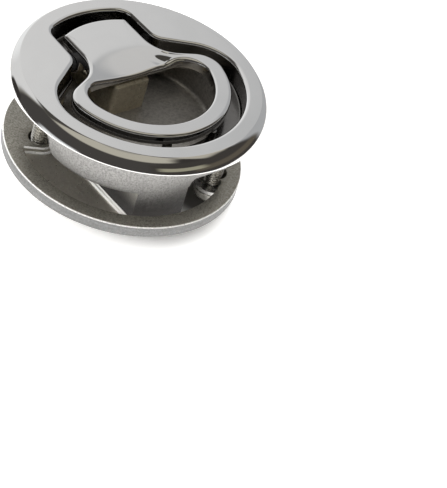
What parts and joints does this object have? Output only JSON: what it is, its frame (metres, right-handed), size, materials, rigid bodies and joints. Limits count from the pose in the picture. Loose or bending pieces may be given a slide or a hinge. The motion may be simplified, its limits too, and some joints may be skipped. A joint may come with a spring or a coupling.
{
  "type": "flush pull latch",
  "caption": "Round flush pull latch: polished bezel with a sprung ring handle that draws back a bevelled slide bolt, clamped to a panel by a dished back plate and screws.",
  "frame": {"origin": "on the bezel's axis, in the plane of the flange's seat on the panel", "axes": "+Z out of the panel's face, +Y from the bezel's centre towards the handle's hinge and the bolt's nose, +X to the right seen from the front"},
  "size_m": [0.062, 0.066, 0.031],
  "materials": {
    "polished_casting": "cast stainless steel, mirror-polished on the flange, blasted below it",
    "polished_handle": "cast stainless steel, mirror-polished",
    "blasted_casting": "cast stainless steel, blasted",
    "bolt_steel": "machined stainless steel",
    "cover_steel": "pressed stainless steel sheet",
    "pin_steel": "ground stainless steel rod",
    "bush_plastic": "natural acetal",
    "spring_wire": "hard-drawn stainless wire",
    "screw_steel": "stainless machine screw",
    "washer_steel": "stainless washer"
  },
  "bodies": {
    "housing": {"bezel_cup": "polished_casting", "hinge_pin": "pin_steel", "pivot_bush_left": "bush_plastic", "pivot_bush_right": "bush_plastic", "handle_spring": "spring_wire", "bolt_spring_left": "spring_wire", "bolt_spring_right": "spring_wire", "spring_guide_left": "pin_steel", "spring_guide_right": "pin_steel", "rear_cover": "cover_steel", "cover_screw_1": "screw_steel", "cover_screw_2": "screw_steel", "cover_screw_3": "screw_steel", "cover_screw_4": "screw_steel", "back_plate": "blasted_casting", "clamp_screw_left": "screw_steel", "clamp_screw_right": "screw_steel", "flat_washer_left": "washer_steel", "flat_washer_right": "washer_steel", "lock_washer_left": "washer_steel", "lock_washer_right": "washer_steel"},
    "handle": {"pull_handle": "polished_handle"},
    "bolt": {"slide_bolt": "bolt_steel"}
  },
  "joints": [
    {"name": "handle_hinge", "type": "hinge", "parent": "housing", "child": "handle", "pos_m": [0, 0.0145, -0.0017], "axis": [-1, 0, 0], "range_deg": [0, 30], "stiffness_Nm_per_rad": 0.1, "springref_deg": -20.05, "deforming": ["handle_spring"]},
    {"name": "bolt_slide", "type": "slide", "parent": "housing", "child": "bolt", "axis": [0, -1, 0], "range_m": [0, 0.008], "deforming": ["bolt_spring_left", "bolt_spring_right"]}
  ],
  "couplings": [
    {"joint": "bolt_slide", "follows": "handle_hinge", "m_per_rad": 0.015}
  ]
}
